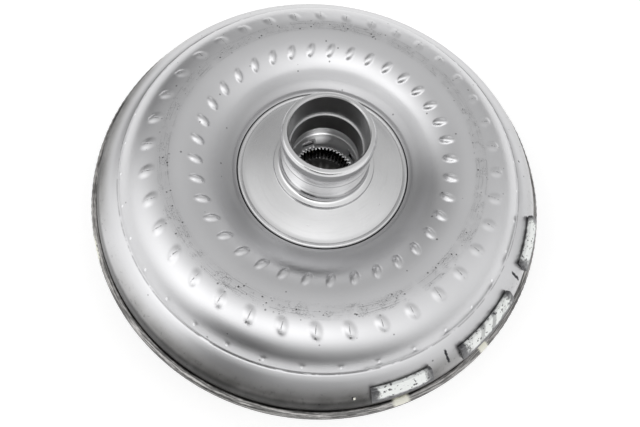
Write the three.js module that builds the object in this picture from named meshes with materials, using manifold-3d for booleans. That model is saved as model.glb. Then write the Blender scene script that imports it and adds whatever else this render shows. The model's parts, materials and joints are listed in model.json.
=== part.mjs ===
// Torque converter of the 300 mm class, in millimetres. +Z runs along its axis, out of the pump
// hub, and the faces of the drive lugs lie on z = 0. A welded casing carries the impeller. Inside
// it turn the turbine with its torsion damper, the lock-up piston, and the stator on its one-way
// clutch.

import * as THREE from "three";
import { mergeVertices } from "three/addons/utils/BufferGeometryUtils.js";
import Module from "manifold-3d";

const wasm = await Module();
wasm.setup();

// ---- Driving dimensions ----

const GAP = 0.3; // play drawn between pieces that touch

const WIDE = 32; // sides of the large turned pieces
const FINE = 24; // sides of the small turned pieces

const CASING_R = 150; // outside of the front cover's wall
const MID_Z = 72; // plane where impeller and turbine face each other
const TORUS_R = 94.3; // centre of the torus section
const TORUS_SKIN = 37.75; // torus section to the outside of the impeller shell
const SHELL_T = 3.2;
const CORE_SKIN = 16; // torus section to the core rings
const CORE_T = 1.2;
const BLADE_T = 1.2;
const BLADE_END = 142; // degrees round the torus section, from outlet to inlet edge
const PASSAGE = 33; // torus section to the blades' outer edge

const IMPELLER_BLADES = 37;
const IMPELLER_LEAN = 25.7; // distance of each blade's plane from the axis
const TURBINE_BLADES = 31;
const TURBINE_LEAN = 30;
const STATOR_BLADES = 13;

const HUB_TOP = MID_Z + 60;
const JOURNAL_R = 27;
const HUB_MOUTH_R = 22.8; // counterbore at the hub's end
const HUB_BORE_R = 21.4;
const HUB_SEAT_R = 24.3; // counterbore that the thrust race's collar stands in
const HUB_SHOULDER_R = 31.6;
const HUB_FLANGE_R = 55;

const COVER_FACE = 18; // outside of the cover, under the lugs
const COVER_T = 5;
const LUG_COUNT = 6;
const LUG_CIRCLE_R = 125;
const LUG_R = 11;
const LUG_HOLE_R = 4.25; // tapping size for M10
const LUG_HOLE_DEPTH = 14;
const PILOT_R = 16;
const PILOT_NOSE_Z = 2;
const BOSS_R = 25; // the pilot boss inside the cover
const BOSS_BORE_R = 11;

// Flat thrust rings, from their bore to their edge.
const THRUST_BORE_R = 24.2;
const THRUST_R = 38;
const CAGE_BORE_R = 24.4;
const CAGE_R = 37.4;
const CAGE_POCKETS = 8;
const COLLAR_R = 23.8;
const COLLAR_BORE_R = 20.9;
const COLLAR_SLOTS = 4;
const COLLAR_SLOT_START = 38; // degrees

const STATOR_HUB_R = 60;
const STATOR_BAND = [79.3, 81.3];
const STATOR_HALF_WIDTH = 7; // of the band, along the axis

const RACE_R = 30; // outside of the stator's inner race
const RACE_SPLINES = 50;
const RACE_ROOT_R = 21;
const RACE_TIP_R = 19.4;
const ROLLER_COUNT = 6;
const ROLLER_R = 4;
const ROLLER_CIRCLE_R = RACE_R + ROLLER_R + 0.15;
const CLUTCH_R = 49.2; // outside of the one-way clutch, in the stator wheel
const CLUTCH_PLATE_BORE_R = 26;
const CAM_LAND_R = 36; // cammed race between its pockets
const CAM_SHALLOW_R = 38.45; // pocket at the wedging end
const CAM_DEEP_R = 39.4; // pocket at the free end

const HUB_SPLINES = 24;
const HUB_SPLINE_ROOT_R = 14;
const HUB_SPLINE_TIP_R = 12.5;
const TURBINE_HUB_R = 25;
const TURBINE_FLANGE_R = 49;
const TURBINE_NECK_R = 36;
const TURBINE_T = 2;
const FLANGE_BOTTOM = 43.9; // under side of the turbine shell's inner flange
const SEAL_GROOVE_R = 22.8;
const SEAL_GROOVE = [30.6, 33.4]; // heights of its two walls

const SPRING_COUNT = 6;
const SPRING_CIRCLE_R = 60;
const SPRING_LENGTH = 34;
const SPRING_R = 5.8;
const SPRING_WIRE_R = 1.2;
const SPRING_Z = 37.4;
const DAMPER_TRAVEL = 6; // degrees each way
const STOP_COUNT = 3;
const STOP_START = 30; // degrees: the stop pins stand midway between springs
const TAB_COUNT = 8;

// Heights of the damper's three plates, under side and top.
const DRIVE_PLATE = [32.6, 34.8];
const HUB_PLATE = [36.4, 39];
const REAR_PLATE = [40.6, 42.6];
const WINDOW = [52.6, 69.4]; // drive plates' windows, inner and outer radius
const PIN_HOLE_R = 2.2;
const DRIVE_PLATE_R = 131;
const DRIVE_TAB_R = 139;

const RIVET_COUNT = 6;
const RIVET_CIRCLE_R = 42;
const RIVET_R = 3;
const RIVET_HEAD_R = 4.8;
const RIVET_HEAD = 1.6; // height of each head
const RIVET_HOLE_R = 3.3;

const PISTON_R = 139.5;
const PISTON_BOTTOM = 25.9;
const PISTON_T = 3.5;
const LINING = [110, 134];

// Balance weights on the impeller's shoulder: [first degree, last degree].
const WEIGHTS = [
  [-70.3, -55],
  [-46.6, -26.5],
  [-18.4, -4],
];

// ---- Finishes ----

function finish(color, roughness, metalness) {
  return new THREE.MeshStandardMaterial({ color, roughness, metalness });
}

const rolledSteel = () => finish(0xc4c6c9, 0.34, 0.95);
const turnedSteel = () => finish(0xd3d5d8, 0.2, 1);
const forgedSteel = () => finish(0x8f9194, 0.45, 0.9);
const stampedSteel = () => finish(0x9b9da1, 0.42, 0.9);
const darkSteel = () => finish(0x55575a, 0.5, 0.85);
const castAluminium = () => finish(0xb7b9ba, 0.5, 0.9);
const bronze = () => finish(0x9c7b4a, 0.5, 0.8);
const frictionPaper = () => finish(0x4a3527, 0.95, 0);
const sealPolymer = () => finish(0x24211d, 0.6, 0);

// ---- Solids ----

// A geometry as a manifold-3d solid.
function solidOf(geometry) {
  const bare = geometry.clone();
  bare.deleteAttribute("normal");
  bare.deleteAttribute("uv");
  const merged = mergeVertices(bare);
  return new wasm.Manifold(
    new wasm.Mesh({
      numProp: 3,
      vertProperties: new Float32Array(merged.attributes.position.array),
      triVerts: new Uint32Array(merged.index.array),
    }),
  );
}

// A manifold-3d solid as a geometry.
function geometryOf(solid) {
  const mesh = solid.getMesh();
  const geometry = new THREE.BufferGeometry();
  geometry.setAttribute("position", new THREE.BufferAttribute(mesh.vertProperties, 3));
  geometry.setIndex(new THREE.BufferAttribute(mesh.triVerts, 1));
  geometry.computeVertexNormals();
  return geometry;
}

function joined(geometries) {
  return geometryOf(geometries.map(solidOf).reduce((sum, solid) => sum.add(solid)));
}

function cut(geometry, tools) {
  return geometryOf(tools.map(solidOf).reduce((rest, tool) => rest.subtract(tool), solidOf(geometry)));
}

const rad = THREE.MathUtils.degToRad;

// Points [r, z] on a circle in the section plane, angles in degrees.
function arc(r, z, radius, from, to, steps) {
  return Array.from({ length: steps + 1 }, (_, i) => {
    const angle = rad(from + ((to - from) * i) / steps);
    return [r + radius * Math.cos(angle), z + radius * Math.sin(angle)];
  });
}

// A closed section of [r, z] points turned round the Z axis.
function turned(section, sides = WIDE) {
  const points = section.map(([r, z]) => new THREE.Vector2(r, z));
  if (THREE.ShapeUtils.area(points) < 0) points.reverse();
  const first = points.findIndex((p) => p.x === 0);
  if (first < 0) points.push(points[0].clone());
  else while (points[0].x !== 0 || points[points.length - 1].x !== 0) points.push(points.shift());
  return new THREE.LatheGeometry(points, sides).rotateX(Math.PI / 2);
}

// A washer between two radii and two heights.
function washer(inner, outer, bottom, top, sides = FINE) {
  return turned([[inner, bottom], [outer, bottom], [outer, top], [inner, top]], sides);
}

// Points round a circle, as Vector2.
function circlePoints(radius, sides, x = 0, y = 0) {
  return Array.from({ length: sides }, (_, i) => {
    const angle = (2 * Math.PI * i) / sides;
    return new THREE.Vector2(x + radius * Math.cos(angle), y + radius * Math.sin(angle));
  });
}

// Points round a sector of a ring, angles in degrees.
function sectorPoints(inner, outer, from, to, steps) {
  return [
    ...arc(0, 0, outer, from, to, steps),
    ...arc(0, 0, inner, to, from, steps),
  ].map(([x, y]) => new THREE.Vector2(x, y));
}

// An outline with holes, raised between two heights.
function raised(outline, holes, bottom, top) {
  const shape = new THREE.Shape(outline);
  shape.holes = holes.map((points) => new THREE.Path(points));
  const depth = top - bottom;
  return new THREE.ExtrudeGeometry(shape, { depth, bevelEnabled: false }).translate(0, 0, bottom);
}

// Serrations as a closed outline that swings between two radii.
function serrations(count, root, tip) {
  return Array.from({ length: 2 * count }, (_, i) => {
    const angle = (Math.PI * i) / count;
    const radius = i % 2 ? tip : root;
    return new THREE.Vector2(radius * Math.cos(angle), radius * Math.sin(angle));
  });
}

// Copies of a geometry spaced evenly round the axis, the first turned by start degrees.
function round(geometry, count, start = 0) {
  return Array.from({ length: count }, (_, i) =>
    geometry.clone().rotateZ(rad(start + (360 * i) / count)),
  );
}

// ---- The group ----

const converter = new THREE.Group();
converter.name = "torque_converter";

function place(name, geometry, material) {
  const mesh = new THREE.Mesh(geometry, material);
  mesh.name = name;
  converter.add(mesh);
  return mesh;
}

// ---- Casing ----

// The section of the torus between two radii, over a range of degrees round its centre.
function torusBand(outer, inner, from, to, steps) {
  return [
    ...arc(TORUS_R, MID_Z, outer, from, to, steps),
    ...arc(TORUS_R, MID_Z, inner, to, from, steps),
  ];
}

function impellerShell() {
  const wall = CASING_R - 4.8; // outside of the wall that slips into the cover
  const foot = MID_Z - 10;
  const shoulder = [[137, 14.1], [141.4, 9.2], [144.2, 4.2]];
  const lip = [[HUB_FLANGE_R + 0.4, 17.4], [60, 19.8]];
  const inside = [[138.4, 6.8], [134.2, 11.5]];
  const lift = ([r, z]) => [r, MID_Z + z];
  return turned([
    ...lip.map(lift),
    ...arc(TORUS_R, MID_Z, TORUS_SKIN, 138, 35, 6),
    ...shoulder.map(lift),
    [wall, MID_Z - 0.5],
    [wall, foot],
    [wall - SHELL_T, foot],
    [wall - SHELL_T, MID_Z - 2],
    ...inside.map(lift),
    ...arc(TORUS_R, MID_Z, TORUS_SKIN - SHELL_T, 33, 141, 5),
    [60.4, MID_Z + 16.4],
    [HUB_FLANGE_R + 0.4, MID_Z + 14.1],
  ]);
}

function impellerHub() {
  const z = (height) => MID_Z + height;
  return turned([
    [HUB_MOUTH_R, HUB_TOP],
    [JOURNAL_R - 1.6, HUB_TOP],
    [JOURNAL_R, HUB_TOP - 2],
    [JOURNAL_R, z(27)],
    [JOURNAL_R + 2, z(24.6)],
    [HUB_SHOULDER_R, z(24.6)],
    [HUB_SHOULDER_R, z(21.8)],
    [HUB_FLANGE_R - 3, z(16.6)],
    [HUB_FLANGE_R, z(17)],
    [HUB_FLANGE_R, z(11.8)],
    [42, z(14)],
    [HUB_SEAT_R, z(14)],
    [HUB_SEAT_R, z(27)],
    [HUB_BORE_R, z(28)],
    [HUB_BORE_R, z(42.6)],
    [HUB_MOUTH_R, z(42.6)],
  ]);
}

// One flat blade that stands along Z and leans off the radius, in the torus section. side is 1
// above the middle plane and -1 below it.
function blade(side, offset, thickness) {
  const along = ([r, z]) => new THREE.Vector2(Math.sqrt(r * r - offset * offset), z);
  const outline = [
    ...arc(TORUS_R, 0, PASSAGE, 2.6, BLADE_END, 4),
    ...arc(TORUS_R, 0, CORE_SKIN - CORE_T / 2, BLADE_END, 5.5, 2),
  ].map(([r, z]) => along([r, side * z]));
  const shape = new THREE.Shape(outline);
  return new THREE.ExtrudeGeometry(shape, { depth: thickness, bevelEnabled: false })
    .translate(0, 0, -thickness / 2)
    .rotateX(Math.PI / 2)
    .translate(0, offset, MID_Z);
}

// Blades round a core ring, one welded piece.
function bladeRing(side, count, offset) {
  const core = turned(torusBand(CORE_SKIN, CORE_SKIN - CORE_T, 5 * side, BLADE_END * side, 2), FINE);
  return joined([core, ...round(blade(side, offset, BLADE_T), count, 4)]);
}

function frontCover() {
  const inside = COVER_FACE + COVER_T;
  const corner = 12;
  const wall = COVER_T - 0.5;
  const step = 3.5; // the middle of the cover bulges towards the engine
  const top = MID_Z - 1;
  return turned([
    [PILOT_R + 0.4, COVER_FACE - step],
    [80, COVER_FACE - step],
    [90, COVER_FACE],
    ...arc(CASING_R - corner, COVER_FACE + corner, corner, -90, 0, 4),
    [CASING_R, top],
    [CASING_R - wall, top],
    ...arc(CASING_R - corner, COVER_FACE + corner, corner - wall, 0, -72, 3),
    [134, inside],
    [90, inside],
    [80, inside - step],
    [PILOT_R + 0.4, inside - step],
  ]);
}

function pilotBoss() {
  const seat = 19.8;
  return turned([
    [0, PILOT_NOSE_Z],
    [PILOT_R - 1.5, PILOT_NOSE_Z],
    [PILOT_R, PILOT_NOSE_Z + 1.5],
    [PILOT_R, seat],
    [BOSS_R, seat],
    [BOSS_R, 24],
    [BOSS_BORE_R, 24],
    [BOSS_BORE_R, 14],
    [0, 14],
  ], FINE);
}

function driveLug() {
  const sides = 12;
  const roof = COVER_FACE - GAP;
  return turned([
    [LUG_HOLE_R, 0],
    [LUG_R - 1, 0],
    [LUG_R, 1],
    [LUG_R, roof],
    [0, roof],
    [0, LUG_HOLE_DEPTH],
    [LUG_HOLE_R, LUG_HOLE_DEPTH],
  ], sides);
}

// A bent plate welded on the impeller's shoulder, between two angles.
function balanceWeight(from, to) {
  const lift = GAP + 0.1;
  const thick = 2.8;
  // The shoulder's own slope, from its upper edge to its lower one.
  const upper = new THREE.Vector2(134.6, MID_Z + 15.9);
  const knee = new THREE.Vector2(137, MID_Z + 14.1);
  const lower = new THREE.Vector2(141.4, MID_Z + 9.2);
  const out = new THREE.Vector2(0.7, 0.71);
  const section = [upper, knee, lower].map((p) => p.clone().addScaledVector(out, lift));
  const face = [lower, knee, upper].map((p) => p.clone().addScaledVector(out, lift + thick));
  const ring = turned([...section, ...face].map((p) => [p.x, p.y]));
  const slice = raised(sectorPoints(120, 160, from, to, 6), [], MID_Z, MID_Z + 30);
  return geometryOf(solidOf(ring).intersect(solidOf(slice)));
}

function closingWeld() {
  const foot = MID_Z - 1 + GAP;
  return turned([
    [CASING_R - 4.5, foot],
    [CASING_R - 0.2, foot],
    [CASING_R - 1.4, foot + 2],
    [CASING_R - 4.4, foot + 2.4],
  ]);
}

place("front_cover", frontCover(), forgedSteel());
place("pilot_boss", pilotBoss(), turnedSteel());
for (let i = 0; i < LUG_COUNT; i++) {
  const lug = place("drive_lug_" + (i + 1), driveLug(), forgedSteel());
  const angle = (2 * Math.PI * i) / LUG_COUNT;
  lug.position.set(LUG_CIRCLE_R * Math.cos(angle), LUG_CIRCLE_R * Math.sin(angle), 0);
}
place("impeller_shell", impellerShell(), rolledSteel());
place("impeller_hub", impellerHub(), turnedSteel());
place("impeller_blade_ring", bladeRing(1, IMPELLER_BLADES, IMPELLER_LEAN), stampedSteel());
place("closing_weld", closingWeld(), darkSteel());
WEIGHTS.forEach(([from, to], i) => {
  place("balance_weight_" + (i + 1), balanceWeight(from, to), darkSteel());
});

// ---- Thrust bearings and washers ----

// The pump-side race: a flat ring and a collar that stands in the hub. The collar's skirt reaches
// down over the stator's inner race, with oil slots in its edge.
function pumpRace() {
  const z = (height) => MID_Z + height;
  const ring = turned([
    [COLLAR_BORE_R, z(4.4)],
    [COLLAR_R, z(4.4)],
    [COLLAR_R, z(12)],
    [THRUST_R, z(12)],
    [THRUST_R, z(13.7)],
    [COLLAR_R, z(13.7)],
    [COLLAR_R, z(25.6)],
    [COLLAR_BORE_R, z(25.6)],
  ], FINE);
  const slot = new THREE.BoxGeometry(10, 8, 8).translate(22, 0, z(7.6));
  return cut(ring, round(slot, COLLAR_SLOTS, COLLAR_SLOT_START));
}

// A cage with open pockets, needles and all, as one flat ring.
function needleCage(bottom, top) {
  const corners = [[25.8, -2], [25.8, 2], [35.2, 2], [35.2, -2]];
  const pocket = corners.map(([x, y]) => new THREE.Vector2(x, y));
  const pockets = Array.from({ length: CAGE_POCKETS }, (_, i) =>
    pocket.map((p) => p.clone().rotateAround(new THREE.Vector2(), (2 * Math.PI * i) / CAGE_POCKETS)),
  );
  return raised(circlePoints(CAGE_R, FINE), [circlePoints(CAGE_BORE_R, FINE), ...pockets], bottom, top);
}

// A flat thrust ring whose heights are given from the middle plane.
function thrustRace(bottom, top) {
  return washer(THRUST_BORE_R, THRUST_R, MID_Z + bottom, MID_Z + top);
}

place("pump_thrust_race", pumpRace(), turnedSteel());
place("pump_needle_cage", needleCage(MID_Z + 9.2, MID_Z + 11.7), stampedSteel());
place("stator_upper_race", thrustRace(7.2, 8.9), turnedSteel());
place("stator_lower_race", thrustRace(-15.6, -13.9), turnedSteel());
place("turbine_needle_cage", needleCage(MID_Z - 18.4, MID_Z - 15.9), stampedSteel());
place("turbine_thrust_race", thrustRace(-20.2, -18.7), turnedSteel());
place("cover_thrust_washer", washer(12, 24.4, 24.3, 25.8), bronze());

// ---- Stator and its one-way clutch ----

function statorWheel() {
  const sides = 2 * STATOR_BLADES;
  const half = Math.PI / sides; // each vane stands on the middle of a side
  const low = MID_Z - STATOR_HALF_WIDTH;
  const high = MID_Z + STATOR_HALF_WIDTH;
  const hub = washer(CLUTCH_R + 0.8, STATOR_HUB_R, MID_Z - 12.4, MID_Z + 6.8, sides).rotateZ(half);
  const band = washer(...STATOR_BAND, low, high, sides).rotateZ(half);
  // Blade section, along the axis and across it: round nose, thin tail.
  const nose = [[-9.4, -2.4], [-5.5, -4], [2, -1.8], [9.6, 4.6]];
  const back = [[9.2, 5.2], [-1, 1.2], [-7.6, -0.2]];
  const section = new THREE.Shape([...nose, ...back].map(([x, y]) => new THREE.Vector2(x, y)));
  const root = STATOR_HUB_R - 0.8;
  const depth = STATOR_BAND[0] + 0.5 - root;
  const vane = new THREE.ExtrudeGeometry(section, { depth, bevelEnabled: false })
    .rotateY(Math.PI / 2)
    .translate(root, 0, MID_Z);
  return joined([hub, band, ...round(vane, STATOR_BLADES, 90)]);
}

// The cammed race: a pocket for each roller that deepens away from the wedging end.
function clutchOuterRace() {
  const step = 360 / ROLLER_COUNT;
  const inner = [];
  for (let i = 0; i < ROLLER_COUNT; i++) {
    const at = i * step;
    inner.push(...arc(0, 0, CAM_LAND_R, at - step + 15, at - 9, 4));
    inner.push(...arc(0, 0, CAM_SHALLOW_R, at - 9, at - 2, 2));
    inner.push(...arc(0, 0, CAM_DEEP_R, at + 2, at + 15, 2));
  }
  const hole = inner.map(([x, y]) => new THREE.Vector2(x, y));
  return raised(circlePoints(CLUTCH_R, WIDE), [hole], MID_Z - 10, MID_Z + 4);
}

// A flat plate that closes the clutch, its heights given from the middle plane.
function clutchPlate(bottom, top) {
  return washer(CLUTCH_PLATE_BORE_R, CLUTCH_R, MID_Z + bottom, MID_Z + top);
}

// A ring over the rollers with a spring leaf down into each pocket.
function rollerSprings() {
  const ring = washer(31, 35.4, MID_Z + 2.5, MID_Z + 3.5);
  const leaf = new THREE.BoxGeometry(4, 0.8, 11.6).translate(33.6, 0, MID_Z - 2.9);
  return joined([ring, ...round(leaf, ROLLER_COUNT, 10.5)]);
}

function innerRace() {
  const bore = serrations(RACE_SPLINES, RACE_ROOT_R, RACE_TIP_R);
  return raised(circlePoints(RACE_R, WIDE), [bore], MID_Z - 11, MID_Z + 4);
}

// A round-wire ring with a gap between its ends.
function snapRing(radius, height, wire) {
  const path = new THREE.CatmullRomCurve3(
    arc(0, 0, radius, 8, 352, 16).map(([x, y]) => new THREE.Vector3(x, y, height)),
  );
  const section = new THREE.Shape(circlePoints(wire, 4));
  return new THREE.ExtrudeGeometry(section, { steps: 24, extrudePath: path, bevelEnabled: false });
}

place("stator_wheel", statorWheel(), castAluminium());
place("clutch_outer_race", clutchOuterRace(), turnedSteel());
place("roller_springs", rollerSprings(), stampedSteel());
place("clutch_upper_plate", clutchPlate(4.6, 6.6), stampedSteel());
place("clutch_lower_plate", clutchPlate(-13.3, -11.4), stampedSteel());
place("clutch_snap_ring", snapRing(48, MID_Z + 7.6, 0.7), darkSteel());
place("stator_inner_race", innerRace(), turnedSteel());
for (let i = 0; i < ROLLER_COUNT; i++) {
  const body = new THREE.CylinderGeometry(ROLLER_R, ROLLER_R, 10, 12).rotateX(Math.PI / 2);
  const roller = place("clutch_roller_" + (i + 1), body, turnedSteel());
  const angle = (2 * Math.PI * i) / ROLLER_COUNT;
  roller.position.set(
    ROLLER_CIRCLE_R * Math.cos(angle),
    ROLLER_CIRCLE_R * Math.sin(angle),
    MID_Z - 3,
  );
}

// ---- Turbine ----

function turbineShell() {
  const skin = TORUS_SKIN - SHELL_T - 0.05 + TURBINE_T;
  const bore = TURBINE_NECK_R + 0.4;
  const bowl = turned([
    [bore, FLANGE_BOTTOM],
    [66, FLANGE_BOTTOM],
    ...arc(TORUS_R, MID_Z, skin, -129, -4, 5),
    ...arc(TORUS_R, MID_Z, skin - TURBINE_T, -4, -130, 5),
    [67, FLANGE_BOTTOM + TURBINE_T],
    [bore, FLANGE_BOTTOM + TURBINE_T],
  ]);
  return cut(bowl, round(rivetHole(), RIVET_COUNT));
}

function turbineHub() {
  const foot = 26.2;
  const top = 51.4;
  const inside = 11; // the body before its bore is splined
  const body = turned([
    [inside, foot],
    [TURBINE_HUB_R - 1, foot],
    [TURBINE_HUB_R, foot + 1],
    [TURBINE_HUB_R, SEAL_GROOVE[0]],
    [SEAL_GROOVE_R, SEAL_GROOVE[0]],
    [SEAL_GROOVE_R, SEAL_GROOVE[1]],
    [TURBINE_HUB_R, SEAL_GROOVE[1]],
    [TURBINE_HUB_R, HUB_PLATE[1] + GAP],
    [TURBINE_FLANGE_R, HUB_PLATE[1] + GAP],
    [TURBINE_FLANGE_R, FLANGE_BOTTOM - GAP],
    [TURBINE_NECK_R, FLANGE_BOTTOM - GAP],
    [TURBINE_NECK_R, top],
    [inside, top],
  ], FINE);
  const bore = raised(serrations(HUB_SPLINES, HUB_SPLINE_ROOT_R, HUB_SPLINE_TIP_R), [], 20, 60);
  return cut(body, [bore, ...round(rivetHole(), RIVET_COUNT)]);
}

function rivetHole() {
  return new THREE.CylinderGeometry(RIVET_HOLE_R, RIVET_HOLE_R, 40, 8)
    .rotateX(Math.PI / 2)
    .translate(RIVET_CIRCLE_R, 0, FLANGE_BOTTOM);
}

function rivet() {
  const bottom = HUB_PLATE[0] - GAP;
  const top = FLANGE_BOTTOM + TURBINE_T + GAP;
  const crown = RIVET_HEAD_R - 1.4;
  return turned([
    [0, bottom - RIVET_HEAD],
    [crown, bottom - RIVET_HEAD],
    [RIVET_HEAD_R, bottom],
    [RIVET_R, bottom],
    [RIVET_R, top],
    [RIVET_HEAD_R, top],
    [crown, top + RIVET_HEAD],
    [0, top + RIVET_HEAD],
  ], 8);
}

// The plate riveted to the hub: it holds the springs end to end in its windows.
function damperHubPlate() {
  const windows = [];
  const half = SPRING_LENGTH / 2 + GAP;
  for (let i = 0; i < SPRING_COUNT; i++) {
    const angle = (2 * Math.PI * i) / SPRING_COUNT;
    const corners = [[53.4, -half], [67, -half], [67, half], [53.4, half]];
    windows.push(
      corners.map(([x, y]) => new THREE.Vector2(x, y).rotateAround(new THREE.Vector2(), angle)),
    );
  }
  const slots = [];
  for (let i = 0; i < STOP_COUNT; i++) {
    const at = STOP_START + (360 * i) / STOP_COUNT;
    slots.push(sectorPoints(56.6, 64, at - DAMPER_TRAVEL - 3.2, at + DAMPER_TRAVEL + 3.2, 2));
  }
  const holes = [];
  for (let i = 0; i < RIVET_COUNT; i++) {
    const angle = (2 * Math.PI * i) / RIVET_COUNT;
    const [x, y] = [Math.cos(angle), Math.sin(angle)];
    holes.push(circlePoints(RIVET_HOLE_R, 8, RIVET_CIRCLE_R * x, RIVET_CIRCLE_R * y));
  }
  return raised(
    circlePoints(73, WIDE),
    [circlePoints(27, FINE), ...windows, ...slots, ...holes],
    ...HUB_PLATE,
  );
}

// A coil spring that lies along a tangent, beside the first radius.
function damperSpring() {
  const turns = 4;
  const perTurn = 6;
  const coil = SPRING_R - SPRING_WIRE_R;
  const reach = SPRING_LENGTH - 2 * SPRING_WIRE_R;
  const points = Array.from({ length: turns * perTurn + 1 }, (_, i) => {
    const angle = (2 * Math.PI * i) / perTurn;
    const y = reach * (i / (turns * perTurn) - 0.5);
    return new THREE.Vector3(SPRING_CIRCLE_R + coil * Math.cos(angle), y, SPRING_Z + coil * Math.sin(angle));
  });
  const section = new THREE.Shape(circlePoints(SPRING_WIRE_R, 4));
  const path = new THREE.CatmullRomCurve3(points);
  return new THREE.ExtrudeGeometry(section, {
    steps: turns * perTurn,
    extrudePath: path,
    bevelEnabled: false,
  });
}

place("turbine_shell", turbineShell(), stampedSteel());
place("turbine_blade_ring", bladeRing(-1, TURBINE_BLADES, TURBINE_LEAN), stampedSteel());
place("turbine_hub", turbineHub(), forgedSteel());
place("damper_hub_plate", damperHubPlate(), stampedSteel());
place("piston_seal_ring", washer(23.1, 24.9, 30.9, 33.1), sealPolymer());
for (let i = 0; i < RIVET_COUNT; i++) {
  const pin = place("turbine_rivet_" + (i + 1), rivet(), darkSteel());
  const angle = (2 * Math.PI * i) / RIVET_COUNT;
  pin.position.set(RIVET_CIRCLE_R * Math.cos(angle), RIVET_CIRCLE_R * Math.sin(angle), 0);
}
for (let i = 0; i < SPRING_COUNT; i++) {
  const spring = place("damper_spring_" + (i + 1), damperSpring(), darkSteel());
  spring.rotation.z = (2 * Math.PI * i) / SPRING_COUNT;
}

// ---- Damper drive plates ----

// Windows longer than the springs by the damper's travel at each end.
function driveWindows() {
  const half = 17.6 + DAMPER_TRAVEL;
  return Array.from({ length: SPRING_COUNT }, (_, i) => {
    const at = (360 * i) / SPRING_COUNT;
    return sectorPoints(...WINDOW, at - half, at + half, 3);
  });
}

function stopHoles() {
  return Array.from({ length: STOP_COUNT }, (_, i) => {
    const angle = rad(STOP_START + (360 * i) / STOP_COUNT);
    const [x, y] = [Math.cos(angle), Math.sin(angle)];
    return circlePoints(PIN_HOLE_R, 8, SPRING_CIRCLE_R * x, SPRING_CIRCLE_R * y);
  });
}

function drivePlate() {
  const outline = [];
  for (let i = 0; i < TAB_COUNT; i++) {
    const at = (360 * i) / TAB_COUNT;
    outline.push(...arc(0, 0, DRIVE_TAB_R, at - 4, at + 4, 2));
    outline.push(...arc(0, 0, DRIVE_PLATE_R, at + 4, at + 360 / TAB_COUNT - 4, 4));
  }
  const edge = outline.map(([x, y]) => new THREE.Vector2(x, y));
  return raised(edge, [circlePoints(48, WIDE), ...driveWindows(), ...stopHoles()], ...DRIVE_PLATE);
}

function rearPlate() {
  return raised(
    circlePoints(71.4, WIDE),
    [circlePoints(50, WIDE), ...driveWindows(), ...stopHoles()],
    ...REAR_PLATE,
  );
}

function stopPin() {
  const shank = 1.9;
  const spacer = 2.6;
  return turned([
    [0, DRIVE_PLATE[0] - 0.9],
    [shank, DRIVE_PLATE[0] - 0.9],
    [shank, DRIVE_PLATE[1] + GAP],
    [spacer, DRIVE_PLATE[1] + GAP],
    [spacer, REAR_PLATE[0] - GAP],
    [shank, REAR_PLATE[0] - GAP],
    [shank, REAR_PLATE[1] + 0.6],
    [0, REAR_PLATE[1] + 0.6],
  ], 8);
}

place("damper_drive_plate", drivePlate(), stampedSteel());
place("damper_rear_plate", rearPlate(), stampedSteel());
for (let i = 0; i < STOP_COUNT; i++) {
  const pin = place("damper_stop_pin_" + (i + 1), stopPin(), darkSteel());
  const angle = rad(STOP_START + (360 * i) / STOP_COUNT);
  pin.position.set(SPRING_CIRCLE_R * Math.cos(angle), SPRING_CIRCLE_R * Math.sin(angle), 0);
}

// ---- Lock-up piston ----

function lockupPiston() {
  const bore = TURBINE_HUB_R + GAP;
  const sleeve = 4.1; // wall of the sleeve that slides on the turbine's hub
  const rim = 4; // wall of the notched rim
  const dish = 0.7; // the plate stands back this far inside the lining
  const top = PISTON_BOTTOM + PISTON_T;
  const plate = turned([
    [bore, PISTON_BOTTOM + dish],
    [88, PISTON_BOTTOM + dish],
    [94, PISTON_BOTTOM],
    [PISTON_R, PISTON_BOTTOM],
    [PISTON_R, 38],
    [PISTON_R - rim, 38],
    [PISTON_R - rim, top],
    [94, top],
    [88, top + dish],
    [bore + sleeve, top + dish],
    [bore + sleeve, 35.6],
    [bore, 35.6],
  ]);
  const notch = raised(sectorPoints(130, 145, -4.6, 4.6, 3), [], 31.8, 45);
  return cut(plate, round(notch, TAB_COUNT));
}

place("lockup_piston", lockupPiston(), stampedSteel());
place("friction_lining", washer(...LINING, 24, 25.6, WIDE), frictionPaper());

export default converter;
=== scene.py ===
"""Looks of a torque converter: welded shell, ground hub, balance weights, and the wheels and clutch inside."""

import json
import math

import bmesh
import bpy
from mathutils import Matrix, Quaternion, Vector


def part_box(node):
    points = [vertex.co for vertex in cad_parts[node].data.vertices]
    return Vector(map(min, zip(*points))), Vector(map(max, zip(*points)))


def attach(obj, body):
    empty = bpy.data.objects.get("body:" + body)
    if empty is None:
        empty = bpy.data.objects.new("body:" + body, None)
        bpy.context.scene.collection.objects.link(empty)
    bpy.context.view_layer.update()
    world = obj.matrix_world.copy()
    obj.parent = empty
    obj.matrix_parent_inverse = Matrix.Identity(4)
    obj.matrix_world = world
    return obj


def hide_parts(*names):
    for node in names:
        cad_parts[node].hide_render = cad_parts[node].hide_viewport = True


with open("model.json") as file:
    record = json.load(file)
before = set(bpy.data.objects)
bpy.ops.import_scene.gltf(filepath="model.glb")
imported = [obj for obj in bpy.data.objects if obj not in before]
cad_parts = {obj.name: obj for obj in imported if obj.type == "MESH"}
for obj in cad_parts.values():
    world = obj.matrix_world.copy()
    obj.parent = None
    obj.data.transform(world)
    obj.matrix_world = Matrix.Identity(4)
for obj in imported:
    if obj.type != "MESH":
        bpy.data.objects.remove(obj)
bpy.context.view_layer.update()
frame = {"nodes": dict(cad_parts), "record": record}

# Outlines are (radius, height) in millimetres. Heights are above the middle plane between the two wheels.
MM = 0.001
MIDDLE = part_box("front_cover")[1].z + 1 * MM
RIM_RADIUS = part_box("front_cover")[1].x / MM
SHELL_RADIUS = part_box("impeller_shell")[1].x / MM
HUB_TOP = (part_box("impeller_hub")[1].z - MIDDLE) / MM

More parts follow.
